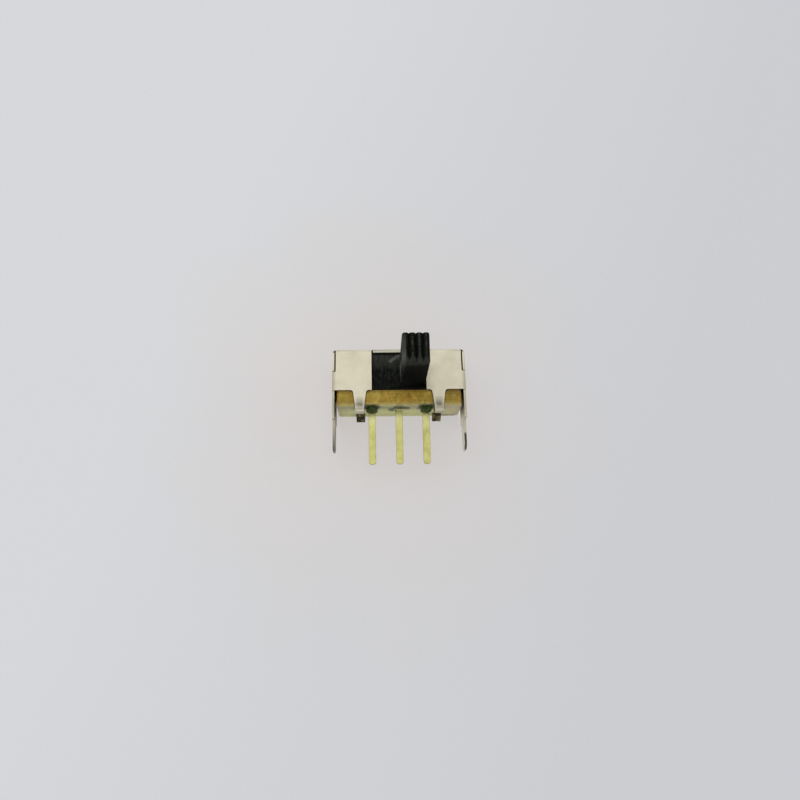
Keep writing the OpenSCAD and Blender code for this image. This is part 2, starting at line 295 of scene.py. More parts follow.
def shared_effect(name, inputs, outputs):
    """A new shader group with plain values in and out."""
    tree = bpy.data.node_groups.new(name, "ShaderNodeTree")
    for socket, value in inputs.items():
        made = tree.interface.new_socket(socket, in_out="INPUT", socket_type="NodeSocketFloat")
        made.default_value = value
    for socket in outputs:
        tree.interface.new_socket(socket, in_out="OUTPUT", socket_type="NodeSocketFloat")
    nodes = Nodes(tree)
    return nodes, nodes.put("NodeGroupInput").outputs, nodes.put("NodeGroupOutput")


def make_worn_edges():
    """Where a surface turns a corner within a short radius, in patches."""
    nodes, given, result = shared_effect("worn_edges", {"Radius": 0.05, "Breakup": 6.0}, ["Mask"])
    radius = nodes.maths("MULTIPLY", given["Radius"], MM)
    rounded = nodes.put("ShaderNodeBevel", {"Radius": radius}, samples=6).outputs["Normal"]
    normal = nodes.put("ShaderNodeNewGeometry").outputs["Normal"]
    corner = nodes.ramp(nodes.vector("DOT_PRODUCT", rounded, normal, "Value"), *CORNER)
    patches = nodes.ramp(nodes.noise(given["Breakup"], detail=4.0, roughness=0.6), *PATCHES)
    nodes.give(result, {"Mask": nodes.both(corner, patches)})
    return nodes.tree


def make_rolled_grain():
    """Fine lines of rolled sheet along X, with a few longer scratches."""
    nodes, given, result = shared_effect("rolled_grain", {"Fineness": 40.0}, ["Height", "Scratches"])
    lines = nodes.noise(given["Fineness"], detail=4.0, roughness=0.6, stretch=(0.06, 1, 1))
    waves = nodes.noise(5.0, detail=2.0, stretch=(0.5, 1.6, 1.6))
    height = nodes.maths("ADD", nodes.both(lines, 0.7), nodes.both(waves, 0.3))
    cells = nodes.put(
        "ShaderNodeTexVoronoi", {"Vector": nodes.point((0.25, 3.2, 2.6)), "Scale": 1.3},
        feature="DISTANCE_TO_EDGE",
    ).outputs["Distance"]
    kept = nodes.ramp(nodes.noise(0.9, detail=1.0), 0.52, 0.62)
    nodes.give(result, {"Height": height, "Scratches": nodes.both(nodes.ramp(cells, 0.012, 0.0), kept)})
    return nodes.tree


def make_cloud():
    """Soft patches of stain, grease or dust."""
    nodes, given, result = shared_effect("cloud", {"Scale": 1.0, "From": 0.4, "To": 0.65}, ["Mask"])
    patches = nodes.noise(given["Scale"], detail=5.0, roughness=0.6)
    nodes.give(result, {"Mask": nodes.ramp(patches, given["From"], given["To"])})
    return nodes.tree


WORN_EDGES = make_worn_edges()
ROLLED_GRAIN = make_rolled_grain()
CLOUD = make_cloud()


class Finish(Nodes):
    """A new material with one shader."""

    def __init__(self, name):
        self.material = bpy.data.materials.new(name)
        self.material.use_nodes = True
        super().__init__(self.material.node_tree)
        self.tree.nodes.clear()
        self.shader = self.put("ShaderNodeBsdfPrincipled")
        self.output = self.put("ShaderNodeOutputMaterial", {"Surface": self.shader.outputs["BSDF"]})

    def set(self, **inputs):
        """Sets or links the shader's inputs; names take _ for a space."""
        self.give(self.shader, {name.replace("_", " "): value for name, value in inputs.items()})


# Plated steel of the frame

PLATE = {
    "clean": (0.502, 0.474, 0.367),
    "stained": (0.457, 0.428, 0.326),
    "scratched": (0.42, 0.39, 0.31),
    # Painted shade on the tongues above their bend
    "tongue shade": (0.140, 0.130, 0.098),
    # Painted shade on the left leg's inner face; the leg is also darker all over and most at its tip
    "leg shade": (0.095, 0.095, 0.070),
    # Painted highlight on the right leg's inner face
    "bright": (0.80, 0.78, 0.68),
    "shaded": (0.27, 0.26, 0.19),
    # Painted highlight along the top fold at the front
    "folded": (0.64, 0.61, 0.50),
    "worn": (0.70, 0.67, 0.55),
    # A darker tone on the strip above the window
    "cut": (0.32, 0.33, 0.26),
    # Painted shade in the seams, the lip's notches, the inner faces and the ends of the folds
    "seam shade": (0.02, 0.018, 0.012),
    # Painted shade on the end plates' inner sides and the right leg's cut edge
    "side shade": (0.025, 0.022, 0.014),
    # Painted shade on the tongues' curled ends, mottled with paler patches
    "curl shade": (0.030, 0.022, 0.006),
    "pale curl patches": (0.26, 0.22, 0.10),
}
# Depths of the rolling lines and of the sheet's slow waves
GRAIN_DEPTH = 0.004
WAVE_DEPTH = 0.03
# Heights over which painted shade and painted highlights come in on the legs and the shoulders
LEG_SHADE = (0.1, -0.7)
LEG_TIP = (-0.9, -2.0)
LEG_CUT = (-1.2, -1.4)
LEG_HIGHLIGHT = (0.7, 0.1)
GAP_DARK = (-0.5, 0.8)
SHOULDER_DARK = (0.9, 0.5)
# Depths, along Y, at which the marks on the lip, the front fold and the rear shoulder come in
LIP_FRONT = (-1.70, -1.74)
FOLD_FRONT = (-1.7, -1.9)
SHOULDER_REAR = (1.45, 1.75)
# Depths between which the curled ends of the tongues lie, and their distance from the middle
CURL_FRONT = -1.45
CURL_REAR = 1.75
CURL_SIDE = (5.6, 5.5)
# Distances from the middle of the front wall's ends, and from a tongue's middle of its painted shade
WALL_END = (5.72, 6.0)
TONGUE_SHADE_SIDE = (0.56, 0.16)


def lip_strip(steel):
    """A mask of the strip above the window, from end to end."""
    front = steel.ramp(steel.axis("Y"), *LIP_FRONT)
    return steel.both(front, steel.near(steel.axis("Z"), shell_high.z - LIP_H, -0.06, -0.02))


def frame_seam_shade(steel, outward):
    """A mask of painted shade in the seams: the lip's notches, the inner faces and the ends of the folds."""
    z = steel.axis("Z")
    from_middle = steel.maths("ABSOLUTE", steel.axis("X"))
    from_axis = steel.maths("ABSOLUTE", steel.axis("Y"))
    notch_end = WINDOW_HALF_W - 0.03
    notch = steel.both(lip_strip(steel), steel.band(from_middle, notch_end - NOTCH_W, notch_end, 0.02))
    inside = steel.both(steel.ramp(outward, *AWAY), steel.near(z, board_high.z, 0.0, 0.2))
    stop_y = shell_high.y - FOLD_STOP
    fold_ends = steel.both(
        steel.ramp(steel.maths("ABSOLUTE", steel.facing("Y")), *FACING),
        steel.band(from_axis, stop_y - 0.02, stop_y + 0.02, 0.02),
        steel.near(z, shell_high.z, -0.42, -0.36),
    )
    return steel.either(notch, inside, fold_ends)


def frame_marks(steel, ragged, outward):
    """Masks of the marks, painted shade and painted highlights on the frame's walls, folds and tongues, by
    name.
    """
    y = steel.axis("Y")
    z = steel.axis("Z")
    from_middle = steel.maths("ABSOLUTE", steel.axis("X"))
    from_tongue = steel.maths("ABSOLUTE", steel.maths("SUBTRACT", from_middle, TONGUE_X))
    return {
        # Painted shade on the tongues, full at the front and half at the rear
        "tongue shade": steel.both(
            steel.ramp(from_tongue, *TONGUE_SHADE_SIDE), steel.near(ragged, board_low.z, -0.2, 0.2),
            steel.near(ragged, board_low.z, 1.1, 0.3), steel.ramp(y, 0.0, 0.1, 1.0, 0.5),
        ),
        "wall ends": steel.both(
            steel.ramp(steel.facing("Y"), *AWAY), steel.ramp(from_middle, *WALL_END),
            steel.near(z, board_high.z, -0.05, 0.05), steel.near(z, shell_high.z, -2.0, -2.3),
        ),
        # Painted highlight along the top fold at the front
        "fold": steel.both(steel.near(z, shell_high.z, -0.22, -0.08), steel.ramp(y, *FOLD_FRONT)),
        # The strip above the window, in a darker tone
        "lip": steel.both(lip_strip(steel), steel.near(from_middle, WINDOW_HALF_W, 0.0, -0.03)),
        "shaded seams": frame_seam_shade(steel, outward),
        "curled": steel.both(
            steel.ramp(from_middle, *CURL_SIDE), steel.band(y, CURL_FRONT, CURL_REAR, 0.12),
            steel.near(z, board_low.z, 0.05, -0.1),
        ),
    }


def leg_marks(steel, ragged, outward):
    """Masks of the painted shade and painted highlights on the end plates and their legs, by name."""
    y = steel.axis("Y")
    z = steel.axis("Z")
    on_left = steel.ramp(steel.axis("X"), *LEFT)
    on_right = steel.ramp(steel.axis("X"), *RIGHT)
    inner = steel.ramp(outward, *AWAY)
    # Painted shade on the left leg's inner face, with the leg darker all over and most at its tip
    legs = steel.ramp(ragged, *LEG_SHADE)
    tip = steel.ramp(ragged, *LEG_TIP)
    left_leg_shade = steel.either(steel.both(legs, inner, 0.8), steel.both(tip, 0.9), steel.both(legs, 0.35))
    # Painted shade on the left end plate's inner face, the right leg's cut edge and the right shoulder's
    # inner face at the rear
    gap_side = steel.both(
        on_left, inner, steel.ramp(ragged, *GAP_DARK), steel.near(z, board_high.z, 0.0, -0.3),
    )
    shoulder = steel.both(
        on_right, steel.ramp(outward, *SLANTED), steel.ramp(y, *SHOULDER_REAR), steel.ramp(z, *SHOULDER_DARK),
    )
    cut = steel.both(on_right, steel.ramp(steel.facing("Y"), *SLANTED), steel.ramp(z, *LEG_CUT))
    return {
        "left leg shade": steel.both(on_left, left_leg_shade),
        # Painted highlight on the lower part of the right leg's inner face
        "right leg highlight": steel.both(on_right, inner, steel.ramp(z, *LEG_HIGHLIGHT)),
        "shaded sides": steel.either(gap_side, cut, steel.both(shoulder, 0.8)),
    }


def plated_steel():
    """Warm satin plate on thin steel: painted shade on the tongues, on the left leg and in its seams."""
    steel = Finish("plated_steel")
    grain = steel.use(ROLLED_GRAIN, Fineness=34.0)
    stain = steel.use(CLOUD, Scale=0.7, From=0.42, To=0.72)["Mask"]
    edges = steel.use(WORN_EDGES, Radius=0.06, Breakup=5.0)["Mask"]
    ragged = steel.maths("ADD", steel.axis("Z"), steel.both(steel.noise(3.0), 0.3))
    outward = steel.maths("MULTIPLY", steel.facing("X"), steel.maths("SIGN", steel.axis("X")))
    marks = frame_marks(steel, ragged, outward)
    legs = leg_marks(steel, ragged, outward)
    # Painted shade on the tongues' curled ends, mottled with paler patches
    curl_shade = steel.mix(PLATE["curl shade"], PLATE["pale curl patches"], steel.ramp(steel.noise(2.6), 0.48, 0.63))
    colour = steel.coats(
        steel.mix(PLATE["clean"], PLATE["stained"], stain),
        (PLATE["scratched"], grain["Scratches"], 0.35),
        (PLATE["tongue shade"], marks["tongue shade"], 0.95),
        (PLATE["leg shade"], legs["left leg shade"], 1.0),
        (PLATE["bright"], legs["right leg highlight"], 0.8),
        (PLATE["shaded"], marks["wall ends"], 0.75),
        (PLATE["folded"], marks["fold"], 0.8),
        (PLATE["worn"], edges, 0.5),
        (PLATE["cut"], marks["lip"], 0.8),
        (PLATE["seam shade"], marks["shaded seams"], 0.95),
        (PLATE["side shade"], legs["shaded sides"], 0.9),
        (curl_shade, marks["curled"], 0.95),
    )
    rough = steel.spread(grain["Height"], 0.30, 0.42)
    rough = steel.maths("ADD", rough, steel.both(stain, 0.06))
    rough = steel.maths("ADD", rough, steel.both(marks["curled"], 0.3))
    waves = steel.both(steel.noise(0.45, detail=2.0), WAVE_DEPTH)
    height = steel.maths("ADD", steel.both(grain["Height"], GRAIN_DEPTH), waves)
    steel.set(Base_Color=colour, Metallic=0.92, Roughness=rough, Normal=steel.bump(height, 1.0))
    return steel.material


# Paper laminate of the board

BOARD = {
    "core": (0.25, 0.163, 0.019),
    "fibres": (0.43, 0.31, 0.046),
    "warm": (0.50, 0.25, 0.028),
    "layers": (0.18, 0.115, 0.02),
    "pale patch": (0.52, 0.41, 0.092),
    "dark patch": (0.15, 0.09, 0.014),
    # Painted shadow of the wall along the top of the board's edge
    "shade under wall": (0.16, 0.105, 0.02),
    "lower edge": (0.50, 0.46, 0.21),
    "ends": (0.20, 0.12, 0.012),
    # Painted shade on the top of the board's right end
    "right end shade": (0.13, 0.08, 0.018),
    "front": (0.39, 0.375, 0.19),
    "rear": (0.71, 0.74, 0.335),
    "tanned": (0.62, 0.53, 0.35),
    "smeared": (0.24, 0.28, 0.15),
    "dull fibres": (0.34, 0.33, 0.15),
    "pale fibres": (0.80, 0.80, 0.48),
    # Painted shadow line along the underside's rear edge at the right
    "stained": (0.05, 0.035, 0.012),
    "specks": (0.11, 0.07, 0.02),
    "film": (0.018, 0.040, 0.014),
    "thick film": (0.012, 0.022, 0.006),
}
BOARD_BUMP = 0.012
# How far the surface turns down where the board's edge becomes its underside
UNDERSIDE = (-0.4, -0.8)
# Depths over which the underside turns from its front tone to its rear tone, and the smear comes in
TONE_TURN = (-1.4, 0.1)
SMEAR_FRONT = (-0.3, -1.2)
SMEAR_HALF_W = 2.7
# Places along X of the tanned right end and of the painted shadow line behind it
TAN_RIGHT = (2.5, 5.0)
SHADOW_LINE_LEFT = 4.3
SHADOW_LINE_RIGHT = 5.2
# Thin film of resin round the left, centre and right pin: its place along Y and its reach
FILM_Y = -1.3
FILM_REACH = ((0.95, 1.3), (0.7, 0.8), (1.1, 1.3))
# Thick film round the outer pins: its place along Y and its reach
THICK_Y = -1.6
THICK_REACH = (0.85, 0.95)
# Thick film on both sides of the centre pin: its place along X from the pin and along Y, and its reach
BESIDE_CENTRE = (((-0.70, -0.6), (0.40, 0.8)), ((0.66, -1.1), (0.45, 0.6)))


def board_edge(board, fibres, warm, mottle):
    """Colour of the board's edges: fibres, layers and patches, darker towards the ends, with painted shadow
    under the wall and on the right end's top.
    """
    x = board.axis("X")
    z = board.axis("Z")
    layers = board.noise(2.2, stretch=(0.15, 0.15, 6.0))
    ends = board.near(board.maths("ABSOLUTE", x), TONGUE_X, 0.4, 0.8)
    # Painted shade on the top of the board's right end
    right_end_shade = board.both(board.near(x, TONGUE_X, 0.0, 0.6), board.near(z, board_high.z, -0.9, -0.2))
    return board.coats(
        BOARD["core"],
        (BOARD["fibres"], board.ramp(fibres, 0.35, 0.68), 1.0),
        (BOARD["warm"], warm, 0.55),
        (BOARD["layers"], board.ramp(layers, 0.45, 0.7), 0.5),
        (BOARD["pale patch"], board.ramp(mottle, 0.52, 0.68), 0.6),
        (BOARD["dark patch"], board.ramp(mottle, 0.46, 0.34), 0.55),
        # Painted shadow of the wall along the top of the board's edge
        (BOARD["shade under wall"], board.near(z, board_high.z, -0.3, 0.0), 0.75),
        (BOARD["lower edge"], board.near(z, board_low.z, 0.4, 0.0), 0.75),
        (BOARD["ends"], ends, 0.2),
        (BOARD["right end shade"], right_end_shade, 0.6),
    )


def board_underside(board, fibres, warm, mottle):
    """Colour of the board's underside: greenish, smeared between the tongues and tanned at the right, with a
    painted shadow line at its rear right edge.
    """
    x = board.axis("X")
    y = board.axis("Y")
    tanned = board.either(board.both(warm, 0.4), board.ramp(x, *TAN_RIGHT, 0.0, 0.7))
    smeared = board.both(
        board.band(x, -SMEAR_HALF_W, SMEAR_HALF_W, 0.5), board.ramp(y, *SMEAR_FRONT),
        board.ramp(mottle, 0.4, 0.55),
    )
    # Painted shadow line along the rear edge at the right, patchy
    stained = board.both(board.near(y, board_high.y, -0.5, -0.3), board.band(x, SHADOW_LINE_LEFT, SHADOW_LINE_RIGHT, 0.3))
    return board.coats(
        BOARD["front"],
        (BOARD["rear"], board.ramp(y, *TONE_TURN), 1.0),
        (BOARD["tanned"], tanned, 1.0),
        (BOARD["smeared"], smeared, 0.6),
        (BOARD["dull fibres"], board.ramp(fibres, 0.5, 0.72), 0.35),
        (BOARD["pale fibres"], board.ramp(fibres, 0.48, 0.3), 0.35),
        (BOARD["stained"], stained, board.ramp(mottle, 0.35, 0.55, 0.4, 0.95)),
    )


def resin_film(board):
    """Masks of the thin and the thick film of resin round the pins."""
    z = board.axis("Z")
    left, centre, right = pin_places
    blotched = board.ramp(board.noise(3.2, detail=5.0, roughness=0.65), 0.37, 0.50)
    spread = [board.spot((pin.x, FILM_Y), reach) for pin, reach in zip(pin_places, FILM_REACH)]
    thin = board.both(board.either(*spread), blotched, board.near(z, board_low.z, 0.3, 0.05))
    thick = [board.spot((pin.x, THICK_Y), THICK_REACH) for pin in (left, right)]
    for (aside, y), reach in BESIDE_CENTRE:
        thick.append(board.both(board.spot((centre.x + aside, y), reach), 0.75))
    return thin, board.both(board.either(*thick), board.near(z, board_low.z, 0.19, 0.0))


def phenolic_board():
    """Ochre paper laminate: layered edges, a paler green underside and a film of resin at the pins."""
    board = Finish("phenolic_board")
    fibres = board.noise(4.0, detail=6.0, roughness=0.65, stretch=(1.2, 1.2, 5.0))
    mottle = board.noise(2.2, detail=4.0, roughness=0.6, stretch=(1.0, 1.0, 0.6))
    specks = board.noise(16.0, detail=2.0)
    warm = board.use(CLOUD, Scale=1.1, From=0.42, To=0.68)["Mask"]
    underside = board.ramp(board.facing("Z"), *UNDERSIDE)
    film, thick_film = resin_film(board)
    colour = board.coats(
        board_edge(board, fibres, warm, mottle),
        (board_underside(board, fibres, warm, mottle), underside, 1.0),
        (BOARD["specks"], board.ramp(specks, 0.62, 0.7), 0.5),
        (BOARD["film"], film, 0.92),
        (BOARD["thick film"], thick_film, board.ramp(fibres, 0.3, 0.5, 0.8, 1.0)),
    )
    relief = board.maths("ADD", board.both(fibres, 0.7), board.both(specks, 0.3))
    board.set(
        Base_Color=colour, Roughness=board.spread(fibres, 0.38, 0.58),
        Specular_IOR_Level=0.15, Normal=board.bump(relief, BOARD_BUMP),
    )
    return board.material


# Brass of the pins

BRASS = {
    "clean": (0.465, 0.458, 0.170),
    "dull": (0.365, 0.355, 0.115),
    # Painted highlight on the pins near the board
    "highlight near board": (0.66, 0.64, 0.30),
    "worn": (0.68, 0.64, 0.39),
}
BRASS_BUMP = 0.005
# Heights over which a painted highlight comes in on a pin towards the board
PIN_HIGHLIGHT = (-0.9, 0.3)


def pin_brass():
    """Pale stamped brass with draw lines along the pin and dull spots, with a painted highlight towards the
    board.
    """
    brass = Finish("pin_brass")
    drawn = brass.noise(22.0, detail=4.0, roughness=0.6, stretch=(1, 1, 0.05))
    dull = brass.use(CLOUD, Scale=1.6, From=0.42, To=0.68)["Mask"]
    edges = brass.use(WORN_EDGES, Radius=0.06, Breakup=4.0)["Mask"]
    colour = brass.coats(
        brass.mix(BRASS["clean"], BRASS["dull"], dull),
        (BRASS["highlight near board"], brass.ramp(brass.axis("Z"), *PIN_HIGHLIGHT), 0.85),
        (BRASS["worn"], edges, 0.6),
    )
    brass.set(
        Base_Color=colour, Metallic=0.95, Roughness=brass.spread(drawn, 0.30, 0.48),
        Normal=brass.bump(drawn, BRASS_BUMP),
    )
    return brass.material


# Black plastic of the slider and its knob

PLASTIC = {
    "black": (0.0016, 0.0019, 0.0012),
    "flow": (0.0065, 0.0078, 0.0056),
    "streaks": (0.030, 0.036, 0.030),
    "dust": (0.052, 0.056, 0.047),
    # Painted shade on faces that turn down
    "below": (0.0009, 0.0009, 0.0004),
    "worn": (0.05, 0.055, 0.050),
    "scratched": (0.05, 0.055, 0.052),
    # Grey and pale tones of the painted highlights, the burr and the scuff
    "grey": (0.078, 0.084, 0.071),
    "pale": (0.165, 0.170, 0.150),
    "shaded": (0.002, 0.002, 0.001),
}
PLASTIC_BUMP = 0.004
# Depth, along Y, where the knob stands out of the window, and depths of the burr on its side
OUTSIDE = (-2.3, -2.6)
BURR_Y = (-4.4, -3.0)
# Heights of the burr's foot and head, the painted highlight on the left edge, the painted highlight on the
# lower left edge, the dust and the shaded top
BURR_FOOT = (3.4, 4.3)
BURR_HEAD = (4.9, 4.6)
LEFT_HIGHLIGHT = (5.5, 4.8)
EDGE_HIGHLIGHT_LOW = 3.3
EDGE_HIGHLIGHT_HIGH = 3.7
DUST = (4.4, 6.0)
SHADED_TOP = (5.92, 6.02)
# Scuff on the slider's face: its ends, as X and Z, and half its width
SCUFF_START = (-0.75, 5.36)
SCUFF_END = (0.2, 6.05)
SCUFF_HALF_W = 0.2


def knob_highlights_and_burr(plastic):
    """Masks on the knob, by name: painted highlights on the rib crests, the chin, the left edge and side and
    the lower left edge, and the burr, partly a painted highlight.
    """
    x = plastic.axis("X")
    y = plastic.axis("Y")
    z = plastic.axis("Z")
    handle_left = handle_x - HANDLE_HALF_W
    half_pitch = RIB_PITCH / 2
    patchy = plastic.ramp(plastic.noise(2.4, detail=4.0, roughness=0.6), *PATCHES)
    from_valley = plastic.maths("PINGPONG", plastic.maths("SUBTRACT", x, handle_left), half_pitch)
    scallop = plastic.maths("ADD", z, plastic.ramp(from_valley, 0.0, half_pitch, 0.25, 0.0))
    outside = plastic.ramp(y, *OUTSIDE)
    return {
        # Painted highlights on the rib crests, the chin, the left edge and side, and the lower left edge
        "crest highlights": plastic.both(
            plastic.near(y, knob_low.y, 0.5, 0.4), plastic.near(from_valley, half_pitch, -0.1, -0.03), patchy,
        ),
        "chin": plastic.both(
            plastic.near(y, knob_low.y, 1.3, 0.3), plastic.band(scallop, CHIN_Z - 0.1, CHIN_Z + 0.2, 0.28),
            plastic.ramp(patchy, 0.0, 1.0, 0.5, 1.0),
        ),
        "left": plastic.both(
            plastic.near(x, handle_left, 0.36, 0.26), plastic.near(y, knob_low.y, 1.6, 0.3),
            plastic.ramp(z, *LEFT_HIGHLIGHT, 0.4, 0.9),
        ),
        "flank highlight": plastic.both(plastic.near(x, handle_left, 0.2, 0.02), outside, patchy),
        # The burr, partly a moulding burr and partly a painted highlight on the lower left edge
        "burr": plastic.both(
            plastic.near(x, handle_left, 0.14, 0.06), outside, plastic.ramp(y, *BURR_Y),
            plastic.ramp(z, *BURR_FOOT), plastic.ramp(z, *BURR_HEAD),
        ),
        "lower edge highlight": plastic.both(
            plastic.near(x, handle_left, 0.34, 0.24), plastic.near(y, knob_low.y, 3.5, 1.5),
            plastic.band(z, EDGE_HIGHLIGHT_LOW, EDGE_HIGHLIGHT_HIGH, 0.4),
        ),
    }


def black_plastic():
    """Moulded black plastic: fine spark texture, painted highlights on the rib crests and the knob's left
    edge, greyed edges, painted shade underneath, dust and a scuff.
    """
    plastic = Finish("black_plastic")
    spark = plastic.noise(24.0, roughness=0.6)
    flow = plastic.noise(1.6, detail=4.0, roughness=0.6, stretch=(3.0, 0.6, 0.5))
    edges = plastic.use(WORN_EDGES, Radius=0.09, Breakup=3.5)["Mask"]
    scratches = plastic.use(ROLLED_GRAIN, Fineness=20.0)["Scratches"]
    knob_marks = knob_highlights_and_burr(plastic)
    z = plastic.axis("Z")
    face = plastic.near(plastic.axis("Y"), slider_face_y, -0.2, -0.1)
    lines = plastic.noise(3.0, detail=4.0, roughness=0.65, stretch=(3.0, 0.6, 0.7))
    streaks = plastic.both(face, plastic.ramp(lines, 0.5, 0.72))
    dust = plastic.both(face, plastic.ramp(z, *DUST), plastic.ramp(flow, 0.3, 0.6, 0.5, 1.0))
    scuff = plastic.streak(SCUFF_START, SCUFF_END, SCUFF_HALF_W)
    scuff = plastic.both(scuff, face, plastic.ramp(flow, 0.25, 0.45))
    # Painted highlights on the knob, with the burr and the scuff
    grey = plastic.either(
        plastic.both(knob_marks["crest highlights"], 0.5), plastic.both(knob_marks["chin"], 0.42), plastic.both(knob_marks["left"], 0.65),
        plastic.both(knob_marks["flank highlight"], 0.3), plastic.both(scuff, 0.95), plastic.both(knob_marks["burr"], 0.95),
    )
    pale = plastic.either(
        plastic.both(knob_marks["lower edge highlight"], 0.25), plastic.both(knob_marks["burr"], 0.9), plastic.both(scuff, 0.5),
    )
    colour = plastic.coats(
        PLASTIC["black"],
        (PLASTIC["flow"], plastic.ramp(flow, 0.42, 0.68), 1.0),
        (PLASTIC["streaks"], streaks, 0.9),
        (PLASTIC["dust"], dust, 0.8),
        # Painted shade on faces that turn down
        (PLASTIC["below"], plastic.ramp(plastic.facing("Z"), *AWAY), 0.95),
        (PLASTIC["worn"], edges, 0.35),
        (PLASTIC["scratched"], scratches, 0.3),
        (PLASTIC["grey"], grey, 1.0),
        (PLASTIC["pale"], pale, 1.0),
        (PLASTIC["shaded"], plastic.both(face, plastic.ramp(z, *SHADED_TOP)), 0.75),
    )
    plastic.set(
        Base_Color=colour, Roughness=plastic.spread(spark, 0.55, 0.72),
        Specular_IOR_Level=0.06, Normal=plastic.bump(spark, PLASTIC_BUMP),
    )
    return plastic.material


# Resin, bronze and spring steel

RESIN = {
    "dark": (0.006, 0.014, 0.002),
    "green": (0.066, 0.100, 0.020),
    # Painted highlight in the pin's tone on the centre dab
    "thin": (0.50, 0.48, 0.21),
}
RESIN_BUMP = 0.05
# Places along X between which the centre dab takes a painted highlight in the pin's tone
THIN_LEFT = -0.22
THIN_RIGHT = 0.5

BRONZE = {
    "dark": (0.70, 0.43, 0.20),
    "pale": (0.80, 0.53, 0.28),
}
SPRING = {
    "clean": (0.62, 0.63, 0.64),
    "hazy": (0.50, 0.51, 0.52),
}


def seal_resin():
    """Dark green resin, uneven; the centre dab carries a painted highlight in the pin's tone."""
    resin = Finish("seal_resin")
    swirl = resin.noise(2.6, detail=4.0)
    lumps = resin.noise(5.0)
    thin = resin.band(resin.axis("X"), THIN_LEFT, THIN_RIGHT, 0.06)
    colour = resin.mix(RESIN["dark"], RESIN["green"], resin.ramp(swirl, 0.36, 0.66))
    colour = resin.coats(colour, (RESIN["thin"], thin, 0.9))
    resin.set(
        Base_Color=colour, Roughness=resin.spread(swirl, 0.40, 0.60),
        Specular_IOR_Level=0.08, Normal=resin.bump(lumps, RESIN_BUMP),
    )
    return resin.material


def spring_bronze():
    """Rolled bronze strip, hidden in the slider."""
    bronze = Finish("spring_bronze")
    lines = bronze.use(ROLLED_GRAIN, Fineness=30.0)["Height"]
    colour = bronze.mix(BRONZE["dark"], BRONZE["pale"], bronze.ramp(lines, 0.4, 0.6))
    bronze.set(Base_Color=colour, Metallic=1.0, Roughness=bronze.spread(lines, 0.25, 0.4))
    return bronze.material


def spring_steel():
    """Bright steel of the ball and the spring."""
    steel = Finish("spring_steel")
    haze = steel.use(CLOUD, Scale=4.0, From=0.35, To=0.7)["Mask"]
    colour = steel.mix(SPRING["clean"], SPRING["hazy"], haze)
    steel.set(Base_Color=colour, Metallic=1.0, Roughness=steel.ramp(haze, 0.0, 1.0, 0.18, 0.32))
    return steel.material


# Pieces


def add_object(name, data):
    """A new object in the scene."""
    made = bpy.data.objects.new(name, data)
    bpy.context.scene.collection.objects.link(made)
    return made


def softened(node, width):
    """A copy of a CAD piece with its sharp edges rounded over."""
    solid = bmesh.new()
    solid.from_mesh(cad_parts[node].data)
    bmesh.ops.remove_doubles(solid, verts=solid.verts, dist=WELD * MM)
    bmesh.ops.dissolve_limit(solid, angle_limit=FLAT_ANGLE, verts=solid.verts, edges=solid.edges)
    outer = [e for e in solid.edges if e.is_manifold and e.is_convex]
    sharp = [e for e in outer if e.calc_face_angle() > SHARP_ANGLE]
    bmesh.ops.bevel(
        solid, geom=sharp, offset=width * MM, offset_type="OFFSET", segments=EDGE_STEPS,
        profile=EDGE_PROFILE, affect="EDGES", clamp_overlap=True,
    )
    for face in solid.faces:
        face.smooth = True
    mesh = bpy.data.meshes.new(node + "_finish")
    solid.to_mesh(mesh)
    solid.free()
    piece = add_object(node + "_finish", mesh)
    even = piece.modifiers.new("even_normals", "WEIGHTED_NORMAL")
    even.weight = FLAT_WEIGHT
    return piece


def dress(node, body, slot, width):
    """Puts a softened piece with its finish in a CAD node's place."""
    piece = softened(node, width)
    piece.data.materials.append(finishes[slot])
    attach(piece, body)
    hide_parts(node)


def lump(place):
    """Smooth noise between 0 and 1 at a place."""
    return 0.5 + 0.5 * noise.noise(place)


def finish_mesh(mesh, slot):
    """Gives a mesh smooth faces and one finish."""
    for face in mesh.polygons:
        face.use_smooth = True
    mesh.materials.clear()
    mesh.materials.append(finishes[slot])


def dress_dab(node):
    """A resin dab with a lumpy surface and outline, inside its CAD solid's box."""
    low, high = box_mm(node)
    middle = (low + high) / 2
    piece = add_object(node + "_finish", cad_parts[node].data.copy())
    even = piece.modifiers.new("even_mesh", "REMESH")
    even.mode = "VOXEL"
    even.voxel_size = DAB_VOXEL * MM
    made = piece.evaluated_get(bpy.context.evaluated_depsgraph_get())
    mesh = bpy.data.meshes.new_from_object(made)
    piece.modifiers.clear()
    for vertex in mesh.vertices:
        place = vertex.co / MM
        depth = min(max((high.z - place.z) / (high.z - low.z), 0.0), 1.0)
        draw_in = 1 - DAB_DRAW_IN * (1 - depth) * lump(place * DAB_LUMPS)
        sink = DAB_SINK * lump(place * DAB_LUMPS * DAB_FINER)
        moved = middle + (place - middle) * draw_in
        moved.z = high.z - depth * (1 - sink) * (high.z - low.z)
        vertex.co = moved * MM
    finish_mesh(mesh, "seal_resin")
    piece.data = mesh
    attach(piece, "frame")
    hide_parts(node)


def dress_spring():
    """The detent's spring, with its finish, attached to the slider's body."""
    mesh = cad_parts["detent_spring"].data.copy()
    finish_mesh(mesh, "spring_steel")
    piece = add_object("detent_spring_finish", mesh)
    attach(piece, "slider")
    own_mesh(piece)
    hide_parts("detent_spring")


def coat(node, slot):
    """Gives a CAD piece that keeps its own mesh its finish."""
    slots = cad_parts[node].data.materials
    slots.clear()
    slots.append(finishes[slot])


# Stage


